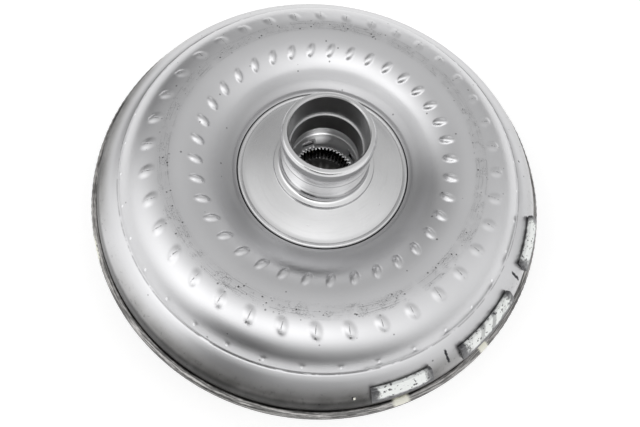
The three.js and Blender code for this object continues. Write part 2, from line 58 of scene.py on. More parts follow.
# The torus-shaped passage that the impeller shell is pressed to.
PASSAGE_RADIUS = 94.3
PASSAGE_OUTSIDE = 37.75
PASSAGE_INSIDE = 34.55
SHOULDER = (127.6, -0.7, 17.6)
VANES = 37
VANE_PITCH = 360 / VANES

# Rows of marks that hold the impeller vanes: radius, angle of the first one, both in millimetres and degrees.
INNER_ROW = (77.7, 8.53)
OUTER_ROW = (104.8, 3.4)
EDGE_ROW = (122.8, 0.75)

# Balance weights: the angles of their two ends.
WEIGHTS = {
    "balance_weight_1": (-70.3, -55),
    "balance_weight_2": (-46.6, -26.5),
    "balance_weight_3": (-18.4, -4),
}

# Burns on the shoulder and smears of paint at the rim: radius, angle, and reach along and across the radius.
BURNS = [(135.5, -50, 5.5, 1.1), (136.8, -21.5, 5.5, 1.2), (139, -74.5, 1.0, 1.0), (130.4, 12, 1.2, 1.0)]
SMEARS = [(147.2, -63, 3.4, 8), (147, -39.5, 3.8, 5.5), (149, -150, 1.2, 12), (139.5, -74, 0.8, 1.2)]

# Drive lugs and their threads.
LUGS = 6
LUG_CIRCLE = 125
THREAD_RADIUS = 4.25
THREAD_PITCH = 1.5
THREAD_TURNS = 8

# Splines: how many, and the radii of their roots and tips.
RACE_SPLINES = (50, 21, 19.4)
TURBINE_SPLINES = (24, 14, 12.5)

# Turbine, stator, clutch and bearings.
TURBINE_VANES = 31
RIVETS = 6
RIVET_CIRCLE = 42
RIVET_HOLE = 3.3
STATOR_VANES = 13
ROLLERS = 6
NEEDLES = 24
NEEDLE_CIRCLE = 30.5

# Damper and lock-up piston.
SPRINGS = 6
SPRING_CIRCLE = 60
SPRING_LENGTH = 31.6
SPRING_COILS = 6
STOPS = 3
FIRST_STOP = 30
TABS = 8


# ---------------------------------------------------------------- drawing and turning


def arc(r, h, radius, start, end, step=6):
    """Points on an arc about (r, h), from start to end in degrees, at most step degrees apart."""
    count = max(1, math.ceil(abs(end - start) / step))
    angles = [math.radians(start + (end - start) * i / count) for i in range(count + 1)]
    return [(r + radius * math.cos(a), h + radius * math.sin(a)) for a in angles]


def place(r, h, angle=0):
    """A point in metres, from its radius and height in millimetres and its angle in degrees."""
    a = math.radians(angle)
    return Vector((r * MM * math.cos(a), r * MM * math.sin(a), MIDDLE + h * MM))


def at(x, y, h):
    """A point in metres, from its x, y and height above the middle plane in millimetres."""
    return Vector((x * MM, y * MM, MIDDLE + h * MM))


def polar(r, angle):
    """A point in plan, from its radius in millimetres and its angle in degrees."""
    return r * math.cos(math.radians(angle)), r * math.sin(math.radians(angle))


def sector(inner, outer, first, last, step=3):
    """The outline in plan of part of a ring."""
    return arc(0, 0, outer, first, last, step) + arc(0, 0, inner, last, first, step)


def at_origin(piece):
    """Moves a piece's origin to the frame's, and leaves its shape in place."""
    bpy.ops.object.select_all(action="DESELECT")
    piece.select_set(True)
    bpy.context.view_layer.objects.active = piece
    bpy.ops.object.transform_apply(location=True, rotation=True, scale=True)


def begin(name):
    """Names the primitive that was just added, and opens it for editing with everything selected."""
    piece = bpy.context.object
    piece.name = name
    at_origin(piece)
    bpy.ops.object.mode_set(mode="EDIT")
    bpy.ops.mesh.select_mode(type="VERT")
    bpy.ops.mesh.select_all(action="SELECT")
    return piece


def trace(name, spots):
    """Draws a closed outline through points in metres, and leaves it selected as one face."""
    bpy.ops.object.select_all(action="DESELECT")
    bpy.ops.mesh.primitive_plane_add(size=MM, location=spots[0])
    piece = begin(name)
    bpy.ops.mesh.merge(type="CENTER")
    for here, there in zip(spots, spots[1:]):
        bpy.ops.mesh.extrude_region_move(TRANSFORM_OT_translate={"value": there - here})
    bpy.ops.mesh.select_all(action="SELECT")
    bpy.ops.mesh.edge_face_add()
    return piece


def draw(name, outline, angle=0):
    """Draws a closed half section at an angle round the axis, and leaves it selected as one face."""
    return trace(name, [place(r, h, angle) for r, h in outline])


def finish_mesh(piece, smooth=35):
    """Closes the seams of the piece being edited, turns its faces outward and smooths its gentle edges."""
    bpy.ops.mesh.select_all(action="SELECT")
    bpy.ops.mesh.remove_doubles(threshold=MM / 1000)
    bpy.ops.mesh.normals_make_consistent(inside=False)
    bpy.ops.object.mode_set(mode="OBJECT")
    bpy.ops.object.shade_smooth_by_angle(angle=math.radians(smooth))
    return piece


def turn(name, outline, steps=144, start=0, sweep=360, smooth=35):
    """A turned piece: its half section spun about the axis, all round or over part of a turn."""
    piece = draw(name, outline, start)
    if sweep == 360:
        bpy.ops.mesh.delete(type="ONLY_FACE")
        bpy.ops.mesh.select_all(action="SELECT")
    bpy.ops.mesh.spin(steps=steps, angle=-math.radians(sweep), center=(0, 0, 0), axis=(0, 0, 1))
    return finish_mesh(piece, smooth)


def modify(piece, kind, **settings):
    """Adds a modifier with its settings and applies it."""
    bpy.ops.object.select_all(action="DESELECT")
    piece.select_set(True)
    bpy.context.view_layer.objects.active = piece
    bpy.ops.object.modifier_add(type=kind)
    change = piece.modifiers[-1]
    for setting, value in settings.items():
        setattr(change, setting, value)
    bpy.ops.object.modifier_apply(modifier=change.name)


def press(piece, height, share):
    """Presses the surface out by height millimetres times share(radius, angle, height)."""
    group = piece.vertex_groups.new(name="pressing")
    for vertex in piece.data.vertices:
        x, y, z = vertex.co / MM
        weight = share(math.hypot(x, y), math.degrees(math.atan2(y, x)), z - MIDDLE / MM)
        if weight > 0:
            group.add([vertex.index], min(weight, 1), "REPLACE")
    modify(piece, "DISPLACE", vertex_group="pressing", strength=height * MM, mid_level=0)
    piece.vertex_groups.clear()


def choose(piece, test):
    """Selects the vertices of the piece being edited that the test picks by radius, angle and height."""
    mesh = bmesh.from_edit_mesh(piece.data)
    for vertex in mesh.verts:
        x, y, z = vertex.co / MM
        vertex.select = bool(test(math.hypot(x, y), math.degrees(math.atan2(y, x)), z - MIDDLE / MM))
    mesh.select_flush(True)
    mesh.select_flush(False)
    bmesh.update_edit_mesh(piece.data)


def cut(piece, cutter, smooth=32):
    """Cuts one piece with another, which is then removed."""
    modify(piece, "BOOLEAN", operation="DIFFERENCE", solver="EXACT", object=cutter)
    bpy.data.objects.remove(cutter)
    bpy.ops.object.shade_smooth_by_angle(angle=math.radians(smooth))


def join(name, pieces):
    """Joins pieces into one with a name."""
    bpy.ops.object.select_all(action="DESELECT")
    for piece in pieces:
        piece.select_set(True)
    bpy.context.view_layer.objects.active = pieces[0]
    if len(pieces) > 1:
        bpy.ops.object.join()
    pieces[0].name = name
    return pieces[0]


def turned_copy(piece, angle):
    """A copy of a finished piece with its own mesh, turned about the axis by an angle in degrees."""
    bpy.ops.object.select_all(action="DESELECT")
    piece.select_set(True)
    bpy.context.view_layer.objects.active = piece
    bpy.ops.object.duplicate(linked=False)
    copy = bpy.context.object
    copy.rotation_euler = (0, 0, math.radians(angle))
    at_origin(copy)
    return copy


def rounds(piece, count, start=0):
    """Copies of a piece, count of them evenly round the axis, the first turned by start degrees."""
    copies = [turned_copy(piece, start + 360 * i / count) for i in range(count)]
    bpy.data.objects.remove(piece)
    return copies


def block(name, size, middle, bevel=0.0):
    """A rectangular block of a size about a middle point, both in millimetres."""
    bpy.ops.object.select_all(action="DESELECT")
    bpy.ops.mesh.primitive_cube_add(size=MM, location=at(*middle), scale=size)
    piece = bpy.context.object
    piece.name = name
    at_origin(piece)
    if bevel:
        modify(piece, "BEVEL", width=bevel * MM, segments=2, limit_method="ANGLE")
    return piece


def shift(piece, x, y, h):
    """Moves a piece by millimetres and keeps its origin at the frame's."""
    piece.location = (x * MM, y * MM, h * MM)
    at_origin(piece)
    return piece


def peg(name, radius, low, high, away, sides=40):
    """An upright cylinder between two heights, at a distance from the axis along x."""
    bpy.ops.object.select_all(action="DESELECT")
    spot = at(away, 0, (low + high) / 2)
    size = {"radius": radius * MM, "depth": (high - low) * MM}
    bpy.ops.mesh.primitive_cylinder_add(vertices=sides, location=spot, **size)
    piece = bpy.context.object
    piece.name = name
    at_origin(piece)
    return piece


def prism(name, outline, low, high):
    """An upright plate of an outline in plan, between two heights."""
    piece = trace(name, [at(x, y, low) for x, y in outline])
    bpy.ops.mesh.extrude_region_move(TRANSFORM_OT_translate={"value": (0, 0, (high - low) * MM)})
    return finish_mesh(piece, 30)


def washer(name, inner, outer, low, high):
    """A flat turned ring with its edges broken."""
    break_edge = min(0.3, (high - low) / 4)
    a, b = inner + break_edge, outer - break_edge
    c, d = low + break_edge, high - break_edge
    outline = [(inner, c), (a, low), (b, low), (outer, c), (outer, d), (b, high), (a, high), (inner, d)]
    return turn(name, outline, steps=144, smooth=30)


def from_nearest(angle, first, pitch):
    """How far an angle is from the nearest of the angles first, first + pitch and so on."""
    return (angle - first + pitch / 2) % pitch - pitch / 2


def dome(distance):
    """A rounded hump: 1 at distance 0, and 0 from distance 1 outward."""
    return max(0, 1 - distance * distance) ** 0.8


def settle(piece, body, slot, material, *nodes):
    """Gives a finished piece its material, its body and the plain nodes it stands for. The slot argument is
    not used.
    """
    piece.data.materials.clear()
    piece.data.materials.append(material)
    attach(piece, body)
    if nodes:
        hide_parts(*nodes)


def stand_for(piece, node):
    """Settles a finished piece in the place of a plain node, with that node's body and finish."""
    bodies = frame["record"]["behaviour"]["bodies"]
    body = next(name for name, nodes in bodies.items() if node in nodes)
    slot = next(part["material_slot"] for part in frame["record"]["subparts"] if part["node"] == node)
    settle(piece, body, slot, FINISHES[slot], node)


# ---------------------------------------------------------------- materials


class Wire:
    """A value in a material. Sums on it add Math nodes."""

    def __init__(self, finish, socket):
        self.finish = finish
        self.socket = socket

    def math(self, operation, *values):
        return self.finish.node("ShaderNodeMath", {"operation": operation}, dict(enumerate((self, *values))))

    def __add__(self, other):
        return self.math("ADD", other)

    __radd__ = __add__

    def __mul__(self, other):
        return self.math("MULTIPLY", other)

    __rmul__ = __mul__

    def __sub__(self, other):
        return self.math("SUBTRACT", other)

    def __rsub__(self, other):
        return (self * -1) + other

    def __truediv__(self, other):
        return self.math("DIVIDE", other)

    def __pow__(self, other):
        return self.math("POWER", other)

    def __abs__(self):
        return self.math("ABSOLUTE")

    def between(self, low, high):
        """0 below low and 1 above high, or the other way round where high is the lower one."""
        settings = {"interpolation_type": "SMOOTHSTEP", "clamp": True}
        if high < low:
            return 1 - self.between(high, low)
        return self.finish.node("ShaderNodeMapRange", settings, {0: self, 1: low, 2: high})

    def near(self, middle, width):
        """1 at middle, falling to 0 at width either side."""
        return abs(self - middle).between(width, 0)


class Finish:
    """A procedural metal or paint, with places in millimetres from the object's own coordinates."""

    def __init__(self, name, **surface):
        self.material = bpy.data.materials.new(name)
        self.material.use_nodes = True
        self.nodes = self.material.node_tree.nodes
        self.links = self.material.node_tree.links
        self.shader = self.nodes["Principled BSDF"]
        for socket, value in surface.items():
            self.shader.inputs[socket.replace("_", " ")].default_value = value
        texture = self.nodes.new("ShaderNodeTexCoord")
        metres = Wire(self, texture.outputs["Object"])
        self.spot = self.node("ShaderNodeVectorMath", {"operation": "SCALE"}, {0: metres, 3: 1 / MM})
        split = self.nodes.new("ShaderNodeSeparateXYZ")
        self.links.new(self.spot.socket, split.inputs[0])
        self.x, self.y, self.z = (Wire(self, output) for output in split.outputs)
        self.radius = (self.x * self.x + self.y * self.y) ** 0.5
        self.angle = self.y.math("ARCTAN2", self.x) * math.degrees(1)

    def node(self, kind, settings, values, output=0):
        """Adds a node: its settings are set first, then its sockets get their values or links."""
        made = self.nodes.new(kind)
        for setting, value in settings.items():
            if setting == "stops":
                self.set_stops(made.color_ramp, value)
            else:
                setattr(made, setting, value)
        for socket, value in values.items():
            if isinstance(value, Wire):
                self.links.new(value.socket, made.inputs[socket])
            else:
                made.inputs[socket].default_value = value
        return Wire(self, made.outputs[output])

    @staticmethod
    def set_stops(ramp, stops):
        """Sets a colour ramp's stops, given as (place, colour) pairs."""
        while len(ramp.elements) < len(stops):
            ramp.elements.new(1)
        for element, (spot, colour) in zip(ramp.elements, stops):
            element.position = spot
            element.color = (*colour, 1)

    def noise(self, size, vector=None, detail=3, roughness=0.55, warp=0):
        """Soft noise from 0 to 1 with features about size millimetres across."""
        sockets = {"Vector": vector or self.spot, "Scale": 1 / size, "Detail": detail}
        return self.node("ShaderNodeTexNoise", {}, {**sockets, "Roughness": roughness, "Distortion": warp})

    def cells(self, size, vector=None, spread=1):
        """Distance to the nearest of scattered points about size millimetres apart, in sizes."""
        sockets = {"Vector": vector or self.spot, "Scale": 1 / size, "Randomness": spread}
        return self.node("ShaderNodeTexVoronoi", {}, sockets)

    def vector(self, x, y, z):
        return self.node("ShaderNodeCombineXYZ", {}, {0: x, 1: y, 2: z})

    def ringwise(self, across, along, height=0):
        """A vector for streaks round the axis: across and along are their width and length in millimetres."""
        reach = RIM_RADIUS / along
        return self.vector(
            self.radius / across + self.z * height,
            self.x / self.radius * reach,
            self.y / self.radius * reach,
        )

    @staticmethod
    def colour(value):
        """A colour for a socket, from another colour's wire or from its three parts."""
        return value if isinstance(value, Wire) else (*value, 1)

    def mix(self, factor, a, b):
        """Colour a where factor is 0 and b where it is 1."""
        values = {"Factor": factor, 6: self.colour(a), 7: self.colour(b)}
        return self.node("ShaderNodeMix", {"data_type": "RGBA"}, values, 2)

    def shade(self, colour, value):
        """A colour made lighter or darker by a value."""
        grey = self.node("ShaderNodeCombineColor", {}, {0: value, 1: value, 2: value})
        both = {"Factor": 1.0, 6: self.colour(colour), 7: grey}
        return self.node("ShaderNodeMix", {"data_type": "RGBA", "blend_type": "MULTIPLY"}, both, 2)

    def bump(self, height, depth, under=None):
        """Roughens the surface by height times depth millimetres."""
        values = {"Height": height, "Distance": depth * MM, "Strength": 1.0}
        if under:
            values["Normal"] = under
        return self.node("ShaderNodeBump", {}, values)

    def show(self, **sockets):
        """Links the finished values to the surface and returns the material."""
        for socket, wire in sockets.items():
            self.links.new(wire.socket, self.shader.inputs[socket.replace("_", " ")])
        return self.material


def row_marks(finish, row, length, width):
    """A mark at every vane of a row: 1 on its middle line, 0 beyond its length and width in millimetres."""
    radius, first = row
    turn_angle = (finish.angle - first + VANE_PITCH / 2 + 720) / VANE_PITCH
    across = (turn_angle.math("FRACT") - 0.5) * VANE_PITCH * math.radians(1) * finish.radius
    along = finish.radius - radius
    return across.near(0, width) * along.near(0, length)


def marks(finish, places, noise):
    """1 on a few marks with ragged edges, 0 elsewhere."""
    total = 0
    for radius, angle, length, width in places:
        across = (finish.angle - angle) * math.radians(radius) + noise * 2 - 1
        along = finish.radius - radius + noise * 2 - 1
        total = across.near(0, width).between(0.1, 0.6) * along.near(0, length).between(0.05, 0.4) + total
    return total


def pressed_steel():
    """Bare pressed steel sheet: faint clouds, a scuffed ring, creases on the vane marks with painted shade in
    them, painted highlights on the edge row's points, painted shade in the bowl by the hub, and a stained edge
    whose front and left sides carry painted shade.
    """
    finish = Finish("pressed_steel", Metallic=1.0)
    cloud = finish.noise(38, detail=4)
    grain = finish.noise(0.7, detail=2)
    streaks = finish.noise(1, finish.ringwise(0.5, 30), detail=3)
    patches = finish.noise(9, detail=3, warp=0.6)
    up = finish.z.between(MIDDLE / MM + 1, MIDDLE / MM + 8)

    ring = finish.radius.near(95.3, 6).between(0.05, 0.6) * up
    rubbed = ring * patches.between(0.32, 0.55)
    long_scratch = finish.noise(1, finish.ringwise(0.45, 40), detail=4, warp=0.6).between(0.57, 0.64)
    short_scratch = finish.noise(1, finish.ringwise(0.45, 3.5), detail=3, warp=2.5).between(0.58, 0.63)
    short_scratch = short_scratch * finish.noise(7, detail=3).between(0.47, 0.56)
    scratch = (long_scratch * 0.45).math("MAXIMUM", short_scratch) * rubbed
    pits = finish.cells(3.0).between(0.24, 0.12) * finish.noise(6).between(0.5, 0.56) * ring
    specks = finish.cells(11).between(0.07, 0.035) * up
    # Painted shade: dark lines along the fine creases of the outer marks and dark pits at their ends, too fine
    # to model.
    creases = row_marks(finish, OUTER_ROW, 4.6, 0.5) * finish.noise(1.6).between(0.42, 0.52)
    heads = row_marks(finish, (OUTER_ROW[0] + 4.4, OUTER_ROW[1]), 1.1, 1.0)
    tails = row_marks(finish, (OUTER_ROW[0] - 4.4, OUTER_ROW[1]), 0.9, 0.9)
    creases = creases + (heads + tails) * finish.noise(5).between(0.5, 0.62) * 0.8
    seam = finish.radius.near(126.2, 0.6) * finish.noise(7, detail=4).between(0.36, 0.5) * up
    # Painted highlights: the small raised points of the edge row are lightened by up to 40 percent.
    points = row_marks(finish, EDGE_ROW, 1.3, 1.2).between(0.1, 0.6)
    burns = marks(finish, BURNS, finish.noise(2.2))
    smears = marks(finish, SMEARS, finish.noise(1.8))

    # Painted shade: the rim's lower flank is darkened most where it faces west and south, with a warmer,
    # rougher stain in the same band.
    west = (finish.x / finish.radius * -1).between(0.86, 0.99)
    south = (finish.y / finish.radius * -1).between(0.5, 0.97)
    shaded_sides = west.math("MAXIMUM", south) * 0.84 + 0.16
    rim_stain_and_shade = finish.radius.between(130.5, 141) * shaded_sides * (finish.noise(16).between(0.3, 0.7) * 0.25 + 0.75)
    # Painted shade: a narrower dark band at the rim's foot on the front and left sides.
    front = (finish.x / finish.radius).between(0.75, 0.1)
    rim_shade_band = finish.radius.between(139.4, 141.6) * front
    # Painted shade: the bowl next to the hub's flange is darkened by up to a quarter.
    bowl = finish.radius.between(69, 60) * up
    spots = finish.noise(2.4, detail=3).between(0.58, 0.7) * finish.radius.between(131, 140)
    dark = rubbed * 0.08 + scratch * 0.62 + pits * 0.75 + specks * 0.6 + creases * 0.6
    dark = dark + seam * 0.35 + spots * 0.25
    tone = (0.93 + cloud * 0.14) * (1 - dark).math("MAXIMUM", 0.12) * (1 - rim_stain_and_shade * 0.82) * (1 - bowl * 0.24)
    tone = tone * (1 - rim_shade_band * 0.68) * (1 + points * 0.4)
    colour = finish.mix(rim_stain_and_shade * 0.8, (0.62, 0.62, 0.63), (0.57, 0.555, 0.53))
    colour = finish.mix(burns.math("MINIMUM", 1.0), finish.shade(colour, tone), (0.05, 0.05, 0.055))
    paint = smears.math("MINIMUM", 1.0)
    rough = 0.245 + cloud * 0.07 + streaks * 0.05 + rubbed * 0.12 + rim_stain_and_shade * 0.16 + burns * 0.2
    relief = grain * 0.25 + streaks * 0.3 - scratch * 2.4 - pits * 4 - creases * 5 - seam * 3 + paint * 2
    return finish.show(
        Base_Color=finish.mix(paint, colour, (0.80, 0.79, 0.70)),
        Metallic=1 - paint,
        Roughness=rough + paint * 0.3,
        Normal=finish.bump(relief, 0.03),
    )


def turned_steel():
    """Steel off the lathe and grinder: bright, with fine turning lines and a few scratches, painted shade in
    the hub's bore and at the bottom under the collar, and a painted highlight on the collar.
    """
    finish = Finish("turned_steel", Metallic=1.0)
    cloud = finish.noise(14, detail=3)
    lines = finish.noise(1, finish.ringwise(0.16, 160, 1 / 0.16), detail=2)
    coarse = finish.noise(1, finish.ringwise(0.9, 60, 1 / 0.9), detail=2)
    nick = finish.noise(1, finish.ringwise(0.35, 18, 1 / 0.35), detail=3, warp=0.5).between(0.69, 0.75)
    # Painted shade: the hub's bore is darkened by a quarter, and made rougher.
    bored = finish.radius.between(24, 23) * finish.z.between(MIDDLE / MM + 26, MIDDLE / MM + 28)
    # Painted highlight: the collar is lightened a little, and made rougher and less metallic so it catches the
    # collar lamp.
    collar = finish.radius.between(24, 23.6) * finish.z.between(MIDDLE / MM + 28, MIDDLE / MM + 26)
    collar = collar * finish.z.between(MIDDLE / MM + 3.6, MIDDLE / MM + 4.2)
    satin = finish.radius.between(31.8, 33.5)
    groove = finish.radius.near(54.9, 0.35) + finish.radius.near(51.9, 0.3)
    tone = 0.98 + cloud * 0.1 - coarse.between(0.55, 0.75) * 0.04 - nick * 0.25 - groove * 0.5
    # Painted shade: the steel at the bottom of the bore, under the collar, is darkened to three tenths.
    deep = finish.radius.between(23, 22) * finish.z.between(MIDDLE / MM + 4, MIDDLE / MM + 2)
    tone = tone * (1 - bored * 0.25) * (1 + collar * 0.1) * (1 - deep * 0.7)
    rough = 0.10 + coarse * 0.04 + nick * 0.2 + satin * (0.11 + cloud * 0.05)
    return finish.show(
        Base_Color=finish.shade((0.66, 0.66, 0.665), tone),
        Roughness=rough + bored * 0.2 + collar * 0.3,
        Metallic=1 - collar * 0.35,
        Normal=finish.bump(lines * 0.4 + coarse * 0.3 - nick, 0.006),
    )


def weld_metal():
    """The closing weld: grey scale over bright ripples, with smears of marker paint."""
    finish = Finish("weld_metal", Metallic=1.0)
    scale = finish.noise(1, finish.ringwise(0.8, 16), detail=4, warp=0.4)
    spots = finish.noise(0.9, detail=3)
    bright = scale.between(0.44, 0.6)
    colour = finish.mix(bright, (0.13, 0.128, 0.125), (0.42, 0.41, 0.40))
    paint = marks(finish, SMEARS, finish.noise(1.8)).math("MINIMUM", 1.0)
    return finish.show(
        Base_Color=finish.mix(paint, finish.shade(colour, 0.7 + spots * 0.6), (0.80, 0.79, 0.70)),
        Metallic=1 - paint,
        Roughness=0.30 + scale * 0.2 + paint * 0.2,
        Normal=finish.bump(spots + scale, 0.06),
    )


def weight_paint():
    """Dark steel with a chipped patch of white marker paint in the middle of each weight."""
    finish = Finish("weight_paint")
    ragged = finish.noise(3.2, detail=4, warp=0.6) - 0.5
    patch = 0
    for first, last in WEIGHTS.values():
        reach = (last - first) / 2
        along = ((finish.angle - (first + last) / 2) / reach + ragged * 0.5).near(0, 0.98).between(0, 0.2)
        patch = along * (finish.radius + ragged * 2.0).near(138.6, 4.4).between(0, 0.3) + patch
    chips = finish.cells(4.5).between(0.2, 0.12) + finish.noise(1.7, detail=3).between(0.60, 0.66)
    hatch = (finish.angle * 1.4 + finish.radius * 0.5).math("SINE").between(0.1, 0.8)
    hatch = hatch * finish.angle.near((WEIGHTS["balance_weight_2"][0] + WEIGHTS["balance_weight_2"][1]) / 2, 9)
    paint = patch * (1 - chips.math("MINIMUM", 1.0)) * (1 - hatch * 0.6)
    steel = finish.shade((0.17, 0.17, 0.175), 0.5 + finish.noise(2) * 0.9)
    return finish.show(
        Base_Color=finish.mix(paint, steel, (0.84, 0.86, 0.84)),
        Metallic=1 - paint,
        Roughness=0.35 + paint * 0.25,
        Normal=finish.bump(paint + finish.noise(0.8) * 0.4, 0.08),
    )


def plain_metal(name, colour, rough, dark, size, depth):
    """A metal with its own cast, drawn or rolled texture: size and depth of the grain in millimetres."""
    finish = Finish(name, Metallic=1.0)
    cloud = finish.noise(size * 14, detail=4)
    grain = finish.noise(size, detail=3)
    worn = finish.noise(size * 5, detail=4, warp=0.5).between(0.5, 0.7)
    return finish.show(
        Base_Color=finish.mix(worn * 0.6, finish.shade(colour, 0.8 + cloud * 0.4), dark),
        Roughness=rough + grain * 0.15 + worn * 0.1,
        Normal=finish.bump(grain + worn * 0.5, depth),
    )


def friction_paper():
    """Brown friction paper, fibrous and dull, with a darker glaze where it rubs."""
    finish = Finish("friction_paper", Metallic=0.0)
    fibres = finish.noise(1, finish.ringwise(0.25, 3), detail=4)
    glaze = finish.noise(22, detail=3).between(0.4, 0.7)
    brown = finish.shade((0.20, 0.12, 0.06), 0.7 + fibres * 0.7)
    return finish.show(
        Base_Color=finish.mix(glaze * 0.6, brown, (0.05, 0.035, 0.025)),
        Roughness=0.85 - glaze * 0.25,
        Normal=finish.bump(fibres, 0.06),
    )


def seal_polymer():
    """Moulded seal ring: warm off-white plastic, lightly marked."""
    finish = Finish("seal_polymer", Metallic=0.0)
    marks = finish.noise(1, finish.ringwise(0.3, 20), detail=3)
    return finish.show(
        Base_Color=finish.mix(marks, (0.42, 0.33, 0.22), (0.55, 0.47, 0.35)),
        Roughness=0.4 + marks * 0.2,
        Normal=finish.bump(marks, 0.02),
    )


WELD = weld_metal()
FINISHES = {
    "rolled_steel": pressed_steel(),
    "turned_steel": turned_steel(),
    "forged_steel": plain_metal("forged_steel", (0.29, 0.286, 0.282), 0.36, (0.235, 0.23, 0.225), 0.5, 0.02),
    "stamped_steel": plain_metal("stamped_steel", (0.50, 0.50, 0.51), 0.30, (0.36, 0.35, 0.34), 0.5, 0.02),
    "dark_steel": plain_metal("dark_steel", (0.16, 0.15, 0.15), 0.30, (0.08, 0.07, 0.07), 0.5, 0.03),
    "painted_weight": weight_paint(),
    "cast_aluminium": plain_metal("cast_aluminium", (0.62, 0.63, 0.64), 0.38, (0.50, 0.50, 0.50), 0.9, 0.08),
    "bronze": plain_metal("bronze", (0.55, 0.36, 0.16), 0.28, (0.36, 0.22, 0.10), 0.6, 0.03),
    "friction_paper": friction_paper(),
    "seal_polymer": seal_polymer(),
}

for part in frame["record"]["subparts"]:
    node_object = frame["nodes"][part["node"]]
    node_object.data.materials.clear()
    node_object.data.materials.append(FINISHES[part["material_slot"]])


# ---------------------------------------------------------------- impeller shell


def rows_of(first, last, spacing):
    """Angles round the passage, from first to last, for rows spacing millimetres apart."""
    count = math.ceil(abs(first - last) * math.radians(1) * PASSAGE_OUTSIDE / spacing)
    return [first + (last - first) * i / count for i in range(count)]


def impeller_shell():
    """The pressed shell, with the marks of its vanes raised in three rows."""
    angles = rows_of(138, 129, 2) + rows_of(129, 103, 0.7) + rows_of(103, 90, 2) + rows_of(90, 60, 1)
    angles += rows_of(60, 44, 1) + rows_of(44, 37, 0.6) + [37]
    crown = [point for a in angles for point in arc(PASSAGE_RADIUS, 0, PASSAGE_OUTSIDE, a, a)[:1]]
    crease = [(124.9, 21.95), (125.6, 21.25), (126.3, 21.0), (127.2, 20.6)]
    shoulder = [(130.5, 18.6), (133.8, 16.4)] + arc(*SHOULDER, 57.4, 0, 5)
    inner = arc(PASSAGE_RADIUS, 0, PASSAGE_INSIDE, 12, 152, 6)
    outline = [(55.5, 16.3), (56.4, 16.5), (57.4, 18.0), (58.4, 18.9), (60, 19.75), (63, 22.2)]
    outline += crown + crease + shoulder + [(SHELL_RADIUS, -10), (142, -10), (142, 0)]
    outline += inner + [(60.4, 16.4), (55.5, 14.2)]
    shell = turn("impeller_shell_pressed", outline, steps=VANES * 18, smooth=50)

    def inner_marks(r, angle, h):
        along = (r - INNER_ROW[0]) / 4.0
        across = from_nearest(angle, INNER_ROW[1] - 0.95 * along, VANE_PITCH) * math.radians(r) / 2.5
        return dome(math.hypot(along, across)) if h > 20 else 0

    def outer_marks(r, angle, h):
        along = (r - OUTER_ROW[0]) / 4.6
        across = from_nearest(angle, OUTER_ROW[1] + along * 0.6, VANE_PITCH) * math.radians(r) / 3.4
        return dome(math.hypot(along, across)) if h > 20 else 0

    def edge_marks(r, angle, h):
        along = (r - EDGE_ROW[0]) / 1.6
        across = from_nearest(angle, EDGE_ROW[1], VANE_PITCH) * math.radians(r) / 1.5
        return dome(math.hypot(along, across)) if h > 20 else 0

    press(shell, 1.45, inner_marks)
    press(shell, 0.7, outer_marks)
    press(shell, 0.3, edge_marks)
    stand_for(shell, "impeller_shell")


impeller_shell()


# ---------------------------------------------------------------- impeller hub


def impeller_hub():
    """The ground hub: journal, shoulder and base ring, flange with its raised lip, and the stepped bore."""
    top = HUB_TOP
    outside = [(22.7, top - 0.9), (23.5, top), (25.2, top), (25.8, top - 0.3), (26.7, top - 1.7)]
    outside += [(27, top - 2.3), (27, 44.4), (26.85, 44.2), (26.85, 43.8), (27, 43.6), (27, 30)]
    outside += [(27.05, 28), (27.5, 26.5), (28.4, 25.3), (29.4, 24.75), (30.9, 24.6), (31.4, 24.4)]
    outside += [(31.6, 23.9), (31.6, 22.6), (32, 21.9), (33, 21.6), (38, 20.5), (45, 18.6), (49, 17.5)]
    outside += [(51.6, 16.75), (52.1, 16.75), (52.7, 17.3), (53.5, 17.55), (54.3, 17.3), (54.8, 16.6)]
    outside += [(55, 15.8)]
    inside = [(55, 12), (54.6, 11.8), (42, 14), (24.6, 14), (24.3, 14.3), (24.3, 27), (21.8, 27.6), (21.4, 28)]
    inside += [(21.4, 42.2), (21.7, 42.6), (22.3, 42.6), (22.6, 42.9)]
    hub = turn("impeller_hub_ground", outside + inside, steps=192, smooth=28)
    modify(hub, "BEVEL", width=0.12 * MM, segments=1, limit_method="ANGLE", angle_limit=math.radians(30))
    bpy.ops.object.shade_smooth_by_angle(angle=math.radians(40))
    stand_for(hub, "impeller_hub")


impeller_hub()


# ---------------------------------------------------------------- front cover and drive


def above_ground(outline):
    """An outline whose heights are given above the drive lugs' faces."""
    return [(r, z - MIDDLE / MM) for r, z in outline]


def front_cover():
    """The drive side's shell: a deep pressed cup with a stepped face, a pilot hole and a chamfered lip."""
    outside = [(145.5, 69.6), (146.2, 70.6), (149.2, 70.7), (150, 69.9), (150, 66), (149.6, 65.6)]
    outside += [(149.6, 64.4), (150, 64)] + arc(138, 30, 12, 0, -90, 6) + [(126, 18), (96, 18), (92.5, 17.6)]
    outside += [(89, 16.6), (84.5, 15), (81, 14.5), (60, 14.5), (57, 15.4), (52, 15.4), (49, 14.5), (28, 14.5)]
    outside += [(26.5, 14.9), (16.4, 14.9)]
    inside = [(16.4, 19.5), (78, 19.5), (88, 22.6), (134, 23), (138, 24.2), (142.6, 27.4), (145.3, 32)]
    inside += [(145.5, 40)]
    cover = turn("front_cover_pressed", above_ground(outside + inside), steps=216, smooth=32)
    stand_for(cover, "front_cover")


